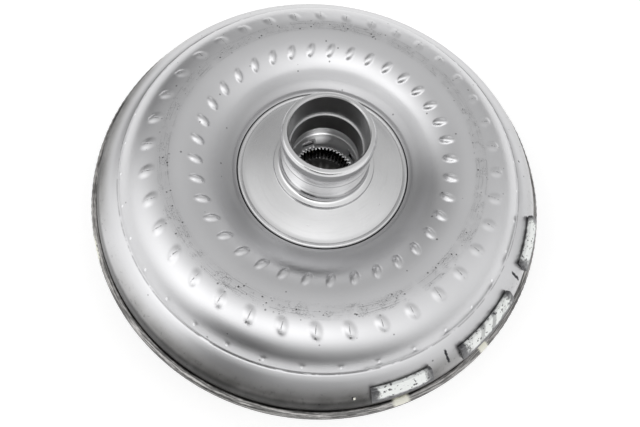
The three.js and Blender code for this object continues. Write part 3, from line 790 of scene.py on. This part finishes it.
def closing_weld():
    """The bead that closes the shell, with its overlapping ripples and a few lumps."""
    outline = [(145.35, -0.6), (148.7, -0.62), (149.25, -0.2), (149.1, 0.5), (148.3, 1.15)]
    outline += [(147.2, 1.5), (146.2, 1.55), (145.45, 1.2)]
    bead = turn("closing_weld_bead", outline, steps=1440, smooth=80)

    def ripples(r, angle, h):
        wave = math.sin(math.radians(angle * 190 + (r - 147) * 60))
        drift = math.sin(math.radians(angle * 7 + 40)) + math.sin(math.radians(angle * 17))
        return 0.5 + 0.28 * wave + 0.11 * drift if h > -0.4 else 0

    press(bead, 0.28, ripples)
    settle(bead, "casing", "dark_steel", WELD, "closing_weld")


def balance_weights():
    """Three curved steel tabs that sit on the shoulder, with softened edges."""
    for name, (first, last) in WEIGHTS.items():
        inner, outer = (134.9, 16.2), (141.5, 9.7)
        lift = (1.9, 2.0)
        outline = [inner, (137.2, 14.4), (139.5, 12.2), outer]
        outline += [(r + lift[0], h + lift[1]) for r, h in reversed(outline)]
        weight = turn(name + "_tab", outline, steps=18, start=first, sweep=last - first, smooth=30)
        modify(weight, "BEVEL", width=0.5 * MM, segments=3, limit_method="ANGLE", angle_limit=math.radians(50))
        bpy.ops.object.shade_smooth_by_angle(angle=math.radians(35))
        stand_for(weight, name)


front_cover()
closing_weld()
balance_weights()


# ---------------------------------------------------------------- drive lugs and pilot


def drive_lug():
    """A forged lug: chamfered face, threaded blind hole with a countersink, and a weld fillet at its root."""
    outside = [(0, 17.7), (12.6, 17.7), (12.4, 17.0), (11.6, 16.2), (11, 15.2), (11, 1.2), (10.7, 0.5)]
    outside += [(9.9, 0), (5.6, 0)]
    thread = [(THREAD_RADIUS + 0.05, 1.3)]
    for i in range(THREAD_TURNS):
        top = 1.9 + i * THREAD_PITCH
        thread += [(THREAD_RADIUS + 0.7, top), (THREAD_RADIUS + 0.7, top + 0.2), (THREAD_RADIUS, top + 0.75)]
    hole = [(THREAD_RADIUS, 14), (0, 16.2)]
    lug = turn("drive_lug", above_ground(outside + thread + hole), steps=48, smooth=30)
    shift(lug, LUG_CIRCLE, 0, 0)
    for i, copy in enumerate(rounds(lug, LUGS)):
        node = f"drive_lug_{i + 1}"
        copy.name = node + "_forged"
        stand_for(copy, node)


def pilot_boss():
    """The crankshaft pilot: a turned nose with a lead-in, a relief groove, and a drilled centre."""
    outside = [(25, 19.8), (25, 24), (11.4, 24), (11, 23.6), (11, 14.4), (10.6, 14), (0, 14)]
    nose = [(0, 7.5), (2.5, 4), (3.6, 2.9), (4.4, 2), (14.2, 2), (16, 3.8), (16, 13.2), (15.7, 13.5)]
    nose += [(15.7, 14.2), (16, 14.5), (16, 19.8)]
    boss = turn("pilot_boss_turned", above_ground(outside + nose), steps=120, smooth=30)
    bead = [(16.1, 14.3), (18.3, 14.3), (18.6, 14.1), (18.2, 13.5), (17.2, 12.9), (16.4, 12.5), (16.1, 12.4)]
    weld = turn("pilot_weld_bead", above_ground(bead), steps=480, smooth=80)

    def ripples(r, angle, h):
        return 0.5 + 0.5 * math.sin(math.radians(angle * 44 + (r - 16) * 90))

    press(weld, 0.3, ripples)
    stand_for(boss, "pilot_boss")
    settle(weld, "casing", "dark_steel", WELD)


drive_lug()
pilot_boss()


# ---------------------------------------------------------------- races in the hub


def splined_ring(name, outline, teeth, root, tip):
    """A turned ring whose bore has splines. Its outline runs from the top of the bore round to the bottom."""
    steps = 4 * teeth
    high, low = outline[0][1], outline[-1][1]
    outline = outline[1:-1]
    piece = draw(name, outline)
    bpy.ops.mesh.delete(type="ONLY_FACE")
    mesh = bmesh.from_edit_mesh(piece.data)
    first, last = place(*outline[0]), place(*outline[-1])
    for edge in mesh.edges:
        ends = [vertex.co for vertex in edge.verts]
        edge.select = all(min((end - first).length, (end - last).length) < MM / 100 for end in ends)
    bmesh.update_edit_mesh(piece.data)
    bpy.ops.mesh.delete(type="EDGE_FACE")

    bpy.ops.mesh.select_all(action="SELECT")
    bpy.ops.mesh.spin(steps=steps, angle=-2 * math.pi, center=(0, 0, 0), axis=(0, 0, 1))
    bpy.ops.mesh.select_all(action="SELECT")
    bpy.ops.mesh.remove_doubles(threshold=MM / 1000)

    bpy.ops.mesh.select_all(action="DESELECT")
    bpy.ops.mesh.primitive_circle_add(vertices=steps, radius=root * MM, location=place(0, low))
    mesh = bmesh.from_edit_mesh(piece.data)
    inward = (root - tip) / root
    ring = [vertex for vertex in mesh.verts if vertex.select]
    for vertex in mesh.verts:
        step = round(math.degrees(math.atan2(vertex.co.y, vertex.co.x)) / 360 * steps)
        vertex.select = vertex in ring and step % 4 in (1, 2)
    bmesh.update_edit_mesh(piece.data)
    bpy.ops.transform.resize(value=(1 - inward, 1 - inward, 1), center_override=place(0, low))
    choose(piece, lambda r, angle, h: r < (root + 0.01) and abs(h - low) < 0.01)
    bpy.ops.mesh.extrude_region_move(TRANSFORM_OT_translate={"value": (0, 0, (high - low) * MM)})

    for end, corner in ((high, outline[0]), (low, outline[-1])):

        def rims(r, angle, h):
            return abs(h - end) < 0.01 and r < root + 0.01 or math.dist((r, h), corner) < 0.01

        choose(piece, rims)
        bpy.ops.mesh.select_mode(type="EDGE")
        bpy.ops.mesh.bridge_edge_loops()
        bpy.ops.mesh.select_mode(type="VERT")
    return finish_mesh(piece, 18)


def inner_race():
    """The stator's inner race: ground track outside, splines for the fixed shaft inside."""
    outline = [(21, 3.6), (21.9, 4), (23.6, 4), (24, 3.5), (25.4, 3.5), (25.8, 4), (29.2, 4), (30, 3.2)]
    outline += [(30, -10.2), (29.2, -11), (21.9, -11), (21, -10.6)]
    race = splined_ring("stator_inner_race_splined", outline, *RACE_SPLINES)
    stand_for(race, "stator_inner_race")


def pump_race():
    """The thrust race whose stepped collar stands in the hub, with oil slots in the edge of its skirt."""
    outline = [(20.9, 4.7), (21.2, 4.4), (23.5, 4.4), (23.8, 4.7), (23.8, 12), (37.6, 12), (38, 12.4)]
    outline += [(38, 13.4), (37.7, 13.7), (24.2, 13.7), (23.8, 14.1), (23.8, 25.3), (23.5, 25.6), (23.1, 25.6)]
    outline += [(22.3, 24.2), (22.2, 21.2), (21.9, 20.6), (21.5, 20.2), (21.3, 15.6), (20.9, 14.9)]
    race = turn("pump_thrust_race_collared", outline, steps=160, smooth=30)
    slots = rounds(block("oil_slot", (10, 9.8, 12), (22, 0, 9.6), bevel=0.4), 4, 36)
    cut(race, join("oil_slots", slots))
    stand_for(race, "pump_thrust_race")


inner_race()
pump_race()


# ---------------------------------------------------------------- vanes


def vane_ring(node, side, count, lean):
    """Sheet vanes brazed round a core ring, leaning off the radius. Side is -1 below the middle plane."""
    core = arc(PASSAGE_RADIUS, 0, 16, 5 * side, 142 * side)
    core += arc(PASSAGE_RADIUS, 0, 14.8, 142 * side, 5 * side)
    ring = turn(node + "_core", core, steps=4 * count)
    edge = arc(PASSAGE_RADIUS, 0, 33, 2.6, 142) + arc(PASSAGE_RADIUS, 0, 15.4, 142, 5.5, 12)
    spots = [(math.sqrt(r * r - lean * lean), lean - 0.6, side * h) for r, h in edge]
    vane = trace("vane", [at(*spot) for spot in spots])
    bpy.ops.mesh.extrude_region_move(TRANSFORM_OT_translate={"value": (0, 1.2 * MM, 0)})
    finish_mesh(vane)
    modify(vane, "BEVEL", width=0.3 * MM, segments=1, limit_method="ANGLE", angle_limit=math.radians(60))
    tab = block("vane_tab", (9, 1.2, 0.8), (0, 0, 0), bevel=0.2)
    shift(tab, math.sqrt((PASSAGE_RADIUS - 4) ** 2 - lean * lean), lean, side * 13.6)
    vanes = rounds(join("vane", [vane, tab]), count, 4)
    shape = join(node + "_brazed", [ring] + vanes)
    bpy.ops.object.shade_smooth_by_angle(angle=math.radians(35))
    stand_for(shape, node)


def turbine_shell():
    """The turbine's pressed bowl, with the folded ends of its vanes standing out in two rows."""
    outline = [(36.4, -28.1), (65.5, -28.1)] + arc(PASSAGE_RADIUS, 0, 36.5, -129, -4, 4)
    outline += [(130.6, -2.2)] + arc(PASSAGE_RADIUS, 0, 34.5, -4, -130, 4) + [(66.6, -26.1), (36.4, -26.1)]
    shell = turn("turbine_shell_pressed", outline, steps=TURBINE_VANES * 10, smooth=40)

    def folds(r, angle, h):
        if math.hypot(r - PASSAGE_RADIUS, h) < 36:
            return 0
        slope = math.degrees(math.atan2(-h, r - PASSAGE_RADIUS))
        along = min(abs(slope - 50), abs(slope - 116)) / 7
        across = from_nearest(angle, 4, 360 / TURBINE_VANES) * math.radians(r) / 2.6
        return 1 if max(abs(across), along) < 1 else 0

    press(shell, 0.35, folds)
    holes = rounds(peg("rivet_hole", RIVET_HOLE, -31, -24, RIVET_CIRCLE), RIVETS)
    cut(shell, join("rivet_holes", holes))
    stand_for(shell, "turbine_shell")


vane_ring("impeller_blade_ring", 1, VANES, 25.7)
vane_ring("turbine_blade_ring", -1, TURBINE_VANES, 30)
turbine_shell()


# ---------------------------------------------------------------- stator and its clutch


def stator_vane():
    """One cast vane: a round-nosed section drawn out along the radius, twisted towards the band."""
    under = [(-9.4, -2.4), (-9.0, -3.2), (-7.6, -3.9), (-5.5, -4), (-2, -3.1), (2, -1.6), (6, 1.4), (9.6, 4.6)]
    over = [(9.3, 5.2), (5, 3), (1, 1.5), (-3, 0.8), (-6.4, 0.1), (-8.4, -0.9), (-9.3, -1.8)]
    vane = trace("stator_vane", [at(59.2, across, -along) for along, across in under + over])
    for step in range(5):
        bpy.ops.mesh.extrude_region_move(TRANSFORM_OT_translate={"value": (4.2 * MM, 0, 0)})
        middle = at(59.2 + 4.2 * (step + 1), 0.5, 0)
        bpy.ops.transform.rotate(value=math.radians(1.2), orient_axis="X", center_override=middle)
        bpy.ops.transform.resize(value=(1, 0.97, 0.99), center_override=middle)
    return finish_mesh(vane, 50)


def stator_wheel():
    """The cast wheel: a bored hub, its vanes, and the band that ties their ends."""
    hub = [(50, -11.9), (50.5, -12.4), (58.6, -12.4), (59.8, -11.2), (60, -10.4), (60, 4.8), (59.8, 5.8)]
    hub += [(58.6, 6.8), (50.5, 6.8), (50, 6.3)]
    band = [(79.3, -6.4), (79.9, -7), (80.7, -7), (81.3, -6.4), (81.3, 6.4), (80.7, 7), (79.9, 7), (79.3, 6.4)]
    pieces = [turn("stator_hub", hub, steps=156), turn("stator_band", band, steps=156)]
    pieces += rounds(stator_vane(), STATOR_VANES, 90)
    wheel = join("stator_wheel_cast", pieces)
    bpy.ops.object.shade_smooth_by_angle(angle=math.radians(45))
    stand_for(wheel, "stator_wheel")


def clutch_outer_race():
    """The cammed race: a pocket for each roller that deepens away from the wedging end."""
    race = washer("clutch_outer_race_cammed", 36, 49.2, -10, 4)
    pocket = [polar(34, -9)] + arc(0, 0, 38.45, -9, -2, 1) + arc(0, 0, 39.4, 2, 15, 1) + [polar(34, 15)]
    cut(race, join("cam_pockets", rounds(prism("cam_pocket", pocket, -11, 5), ROLLERS)))
    stand_for(race, "clutch_outer_race")


def clutch_rollers():
    """The hardened rollers, with rounded ends."""
    roller = peg("clutch_roller_ground", 4, -8, 2, 34.15, sides=48)
    modify(roller, "BEVEL", width=0.45 * MM, segments=3, limit_method="ANGLE", angle_limit=math.radians(60))
    bpy.ops.object.shade_smooth_by_angle(angle=math.radians(35))
    for i, copy in enumerate(rounds(roller, ROLLERS)):
        stand_for(copy, f"clutch_roller_{i + 1}")


def roller_springs():
    """A sheet ring over the rollers, with a folded spring leaf down into each pocket."""
    ring = washer("spring_ring", 31, 35.4, 2.5, 3.5)
    fold = [(31.7, -0.4), (35.5, -0.4), (35.5, 0.4), (31.7, 0.4)]
    leaf = prism("spring_leaf", fold, -8.7, 2.9)
    springs = join("roller_springs_sheet", [ring] + rounds(leaf, ROLLERS, 10.5))
    stand_for(springs, "roller_springs")


def needle_bearing(node, low, high):
    """A flat cage with its needles."""
    middle = (low + high) / 2
    cage = washer(node + "_sheet", 24.4, 37.4, middle - 0.8, middle + 0.8)
    pocket = block("needle_pocket", (9.6, 2.7, 4), (NEEDLE_CIRCLE, 0, middle))
    cut(cage, join("needle_pockets", rounds(pocket, NEEDLES)))
    needle = peg("needle", 1.15, -4.6, 4.6, 0, sides=14)
    needle.rotation_euler = (0, math.radians(90), 0)
    needle.location = at(NEEDLE_CIRCLE, 0, middle) - Vector((MIDDLE, 0, 0))
    at_origin(needle)
    bearing = join(node + "_rollers", [cage] + rounds(needle, NEEDLES))
    bpy.ops.object.shade_smooth_by_angle(angle=math.radians(35))
    stand_for(bearing, node)


def flat_rings():
    """The plates, races and snap ring that hold the stator's parts together."""
    rings = {
        "clutch_upper_plate": ("sheet", 26, 49.2, 4.6, 6.6),
        "clutch_lower_plate": ("sheet", 26, 49.2, -13.3, -11.4),
        "stator_upper_race": ("ground", 24.2, 38, 7.2, 8.9),
        "stator_lower_race": ("ground", 24.2, 38, -15.6, -13.9),
        "turbine_thrust_race": ("ground", 24.2, 38, -20.2, -18.7),
    }
    for node, (make, *size) in rings.items():
        stand_for(washer(f"{node}_{make}", *size), node)
    wire = arc(48, 7.6, 0.7, 0, 330, 30)
    snap = turn("clutch_snap_ring_wire", wire, steps=120, start=8, sweep=344, smooth=50)
    stand_for(snap, "clutch_snap_ring")


stator_wheel()
clutch_outer_race()
clutch_rollers()
roller_springs()
flat_rings()
needle_bearing("pump_needle_cage", 9.2, 11.7)
needle_bearing("turbine_needle_cage", -18.4, -15.9)


# ---------------------------------------------------------------- turbine hub and damper


def turbine_hub():
    """The turbine's forged hub: splined bore, seal groove, and the flange its rivets pass through."""
    outline = [(14, -21.1), (14.6, -20.6), (35.4, -20.6), (36, -21.2), (36, -27.9), (36.5, -28.4)]
    outline += [(48.5, -28.4), (49, -28.9), (49, -32.2), (48.5, -32.7), (25.6, -32.7), (25, -33.3)]
    outline += [(25, -38.6), (22.8, -38.6), (22.8, -41.4), (25, -41.4), (25, -44.8), (24, -45.8)]
    outline += [(14.6, -45.8), (14, -45.3)]
    hub = splined_ring("turbine_hub_splined", outline, *TURBINE_SPLINES)
    holes = rounds(peg("rivet_hole", RIVET_HOLE, -34, -27, RIVET_CIRCLE), RIVETS)
    cut(hub, join("rivet_holes", holes), smooth=18)
    stand_for(hub, "turbine_hub")


def rivets_and_pins():
    """Rivets through the turbine's flange, and the shouldered pins that tie the drive plates."""
    rivet = [(0, -37.5), (1.6, -37.4), (3.1, -36.95), (4.2, -36.3), (4.75, -35.9), (3, -35.9), (3, -25.8)]
    rivet += [(4.75, -25.8), (4.2, -25.4), (3.1, -24.75), (1.6, -24.3), (0, -24.2)]
    pin = [(0, -40.3), (1.7, -40.3), (1.9, -40.1), (1.9, -36.9), (2.6, -36.9), (2.6, -31.7), (1.9, -31.7)]
    pin += [(1.9, -29), (1.7, -28.8), (0, -28.8)]
    rivet = shift(turn("turbine_rivet_headed", rivet, steps=32), RIVET_CIRCLE, 0, 0)
    for i, copy in enumerate(rounds(rivet, RIVETS)):
        stand_for(copy, f"turbine_rivet_{i + 1}")
    pin = shift(turn("damper_stop_pin_turned", pin, steps=32), SPRING_CIRCLE, 0, 0)
    for i, copy in enumerate(rounds(pin, STOPS, FIRST_STOP)):
        stand_for(copy, f"damper_stop_pin_{i + 1}")


def damper_springs():
    """Coil springs of round wire, each lying along a tangent in its windows."""
    bpy.ops.object.select_all(action="DESELECT")
    bpy.ops.mesh.primitive_circle_add(vertices=14, radius=1.2 * MM, location=(4.6 * MM, 0, 0))
    spring = bpy.context.object
    spring.name = "damper_spring_coiled"
    at_origin(spring)
    pitch = SPRING_LENGTH / SPRING_COILS * MM
    modify(spring, "SCREW", axis="Y", steps=28, render_steps=28, iterations=SPRING_COILS, screw_offset=pitch)
    spring.location = at(SPRING_CIRCLE, -SPRING_LENGTH / 2, -34.6)
    at_origin(spring)
    bpy.ops.object.mode_set(mode="EDIT")
    bpy.ops.mesh.select_all(action="SELECT")
    bpy.ops.mesh.fill_holes(sides=14)
    finish_mesh(spring, 40)
    for i, copy in enumerate(rounds(spring, SPRINGS)):
        stand_for(copy, f"damper_spring_{i + 1}")


def damper_plates():
    """The plate on the hub, and the two drive plates either side of it with longer windows."""
    plate = washer("damper_hub_plate_sheet", 27, 73, -35.6, -33)
    holes = rounds(block("spring_window", (13.6, 34.6, 6), (60.2, 0, -34.3), bevel=0.8), SPRINGS)
    holes += rounds(prism("stop_slot", sector(56.6, 64, -9.2, 9.2), -37, -31), STOPS, FIRST_STOP)
    holes += rounds(peg("rivet_hole", RIVET_HOLE, -37, -31, RIVET_CIRCLE), RIVETS)
    cut(plate, join("holes", holes))
    stand_for(plate, "damper_hub_plate")

    edge = []
    for i in range(TABS):
        middle = 360 * i / TABS
        edge += arc(0, 0, 139, middle - 4, middle + 4, 2) + arc(0, 0, 131, middle + 4.4, middle + 40.6, 3)
    drive = prism("damper_drive_plate_sheet", edge, -39.4, -37.2)
    modify(drive, "BEVEL", width=0.25 * MM, segments=2, limit_method="ANGLE", angle_limit=math.radians(60))
    middle_hole = peg("middle_hole", 48, -42, -35, 0, sides=128)
    rear = washer("damper_rear_plate_sheet", 50, 71.4, -31.4, -29.4)
    for piece, low, high, more in ((drive, -42, -35, [middle_hole]), (rear, -34, -27, [])):
        holes = rounds(prism("long_window", sector(52.6, 69.4, -23.6, 23.6), low, high), SPRINGS)
        holes += rounds(peg("pin_hole", 2.2, low, high, SPRING_CIRCLE), STOPS, FIRST_STOP)
        cut(piece, join("holes", holes + more))
    stand_for(drive, "damper_drive_plate")
    stand_for(rear, "damper_rear_plate")


def lockup_piston():
    """The pressed clutch piston: a rim notched for the drive plate's tabs, and a sleeve on the hub."""
    outline = [(25.3, -45), (25.7, -45.4), (87, -45.4), (90, -45.55), (92, -45.95), (94.5, -46.1)]
    outline += [(137.3, -46.1), (138.8, -45.5), (139.5, -44.2), (139.5, -34.4), (139.1, -34), (135.9, -34)]
    outline += [(135.5, -34.4), (135.5, -41.4), (134.9, -42.3), (133.8, -42.6), (94.5, -42.6), (92, -42.45)]
    outline += [(90, -42.05), (87, -41.9), (30.6, -41.9), (29.7, -41.5), (29.4, -40.7), (29.4, -36.8)]
    outline += [(29, -36.4), (25.7, -36.4), (25.3, -36.8)]
    piston = turn("lockup_piston_pressed", outline, steps=192)
    notches = rounds(prism("notch", sector(133, 143, -4.6, 4.6), -40.2, -30), TABS)
    cut(piston, join("notches", notches))
    stand_for(piston, "lockup_piston")

    lining = washer("friction_lining_grooved", 110, 134, -48, -46.4)
    grooves = rounds(block("oil_groove", (30, 1.6, 1), (122, 0, -48.1)), 18, 5)
    cut(lining, join("oil_grooves", grooves))
    stand_for(lining, "friction_lining")


def seal_ring():
    """The split ring that seals the piston on the turbine's hub."""
    outline = [(23.1, -40.9), (23.3, -41.1), (24.7, -41.1), (24.9, -40.9), (24.9, -39.1), (24.7, -38.9)]
    outline += [(23.3, -38.9), (23.1, -39.1)]
    stand_for(turn("piston_seal_ring_split", outline, steps=96, sweep=358), "piston_seal_ring")


def cover_washer():
    """The bronze washer between the turbine's hub and the cover, with oil grooves."""
    thrust = washer("cover_thrust_washer_grooved", 12, 24.4, -47.7, -46.2)
    cut(thrust, join("oil_grooves", rounds(block("oil_groove", (16, 2, 1), (18, 0, -46)), 4, 45)))
    stand_for(thrust, "cover_thrust_washer")


turbine_hub()
rivets_and_pins()
damper_springs()
damper_plates()
lockup_piston()
seal_ring()
cover_washer()


# ---------------------------------------------------------------- light, floor and camera


def floor():
    """A plain pale floor."""
    bpy.ops.object.select_all(action="DESELECT")
    bpy.ops.mesh.primitive_plane_add(size=12)
    ground = bpy.context.object
    ground.name = "floor"
    finish = Finish("pale_floor", Roughness=0.9)
    finish.shader.inputs["Emission Strength"].default_value = 0.22
    finish.shader.inputs["Emission Color"].default_value = (1, 1, 1, 1)
    tone = 0.93 + finish.noise(400, detail=2) * 0.02
    ground.data.materials.append(finish.show(Base_Color=finish.shade((1, 1, 1), tone)))


# Bright panels round the studio: azimuth and elevation in degrees, and brightness.
PANELS = [
    (0, 10, 0.75), (30, 10, 0.45), (60, 10, 0.3), (90, 10, 1.0), (120, 10, 0.25), (180, 10, 0.9),
    (208, 10, 0.8), (330, 10, 0.55), (0, 38, 0.6), (45, 38, 0.5), (90, 38, 0.3), (135, 38, 0.35),
    (180, 38, 0.8), (222, 38, 1.7), (270, 38, 0.2), (315, 38, 1.15), (0, 66, 0.7), (90, 66, 0.6),
    (180, 66, 0.5), (270, 66, 0.9), (270, 52, 1.0),
]


def sky():
    """Studio surroundings: bright panels all round, and a black flag that streaks the polished steel."""
    world = bpy.data.worlds.new("studio")
    bpy.context.scene.world = world
    world.use_nodes = True
    finish = Finish.__new__(Finish)
    finish.nodes = world.node_tree.nodes
    finish.links = world.node_tree.links
    texture = finish.nodes.new("ShaderNodeTexCoord")
    way = Wire(finish, texture.outputs["Generated"])
    strength = 0
    for azimuth, elevation, brightness in PANELS:
        a, e = math.radians(azimuth), math.radians(elevation)
        toward = (math.cos(e) * math.cos(a), math.cos(e) * math.sin(a), math.sin(e))
        facing = finish.node("ShaderNodeVectorMath", {"operation": "DOT_PRODUCT"}, {0: way, 1: toward}, 1)
        strength = facing.math("MAXIMUM", 0.0) ** 14 * brightness + strength
    split = finish.nodes.new("ShaderNodeSeparateXYZ")
    finish.links.new(way.socket, split.inputs[0])
    x, y, z = (Wire(finish, output) for output in split.outputs)
    azimuth = y.math("ARCTAN2", x) * math.degrees(1)
    flag = azimuth.near(-112, 19).between(0, 0.2) * z.between(0.56, 0.50)
    strength = strength * (1 - flag * 0.85)
    background = finish.nodes["Background"]
    background.inputs["Color"].default_value = (1, 1, 1, 1)
    finish.links.new(strength.socket, background.inputs["Strength"])


def snoot(name, position, target, half_angle, power):
    """A narrow lamp at a position, aimed at a target into the hub's bore."""
    lamp = bpy.data.lights.new(name, "SPOT")
    lamp.energy = power
    lamp.spot_size = 2 * math.radians(half_angle)
    lamp.spot_blend = 0.4
    lamp.shadow_soft_size = 0.004
    holder = bpy.data.objects.new(name, lamp)
    holder.location = position
    holder.rotation_mode = "QUATERNION"
    aim = Vector(target) - Vector(position)
    holder.rotation_quaternion = aim.to_track_quat("-Z", "Y")
    bpy.context.scene.collection.objects.link(holder)


def camera():
    """The view of the hub side, from above and in front."""
    position = Vector((0, -0.1262, 0.33919))
    aim = Vector((0.003932, 0, 0.001654))
    roll = math.radians(11.4755)
    lens = bpy.data.cameras.new("camera")
    lens.sensor_width = 36
    lens.lens = 24.33
    lens.clip_start = 0.01
    viewer = bpy.data.objects.new("camera", lens)
    viewer.location = position
    viewer.rotation_mode = "QUATERNION"
    viewer.rotation_quaternion = (aim - position).to_track_quat("-Z", "Y") @ Quaternion((0, 0, 1), roll)
    bpy.context.scene.collection.objects.link(viewer)
    bpy.context.scene.camera = viewer


floor()
sky()
snoot("collar_lamp", (0.09, -0.45, 0.64), place(21.5, 18, 108), 0.5, 40)
camera()
bpy.context.scene.view_settings.view_transform = "Standard"
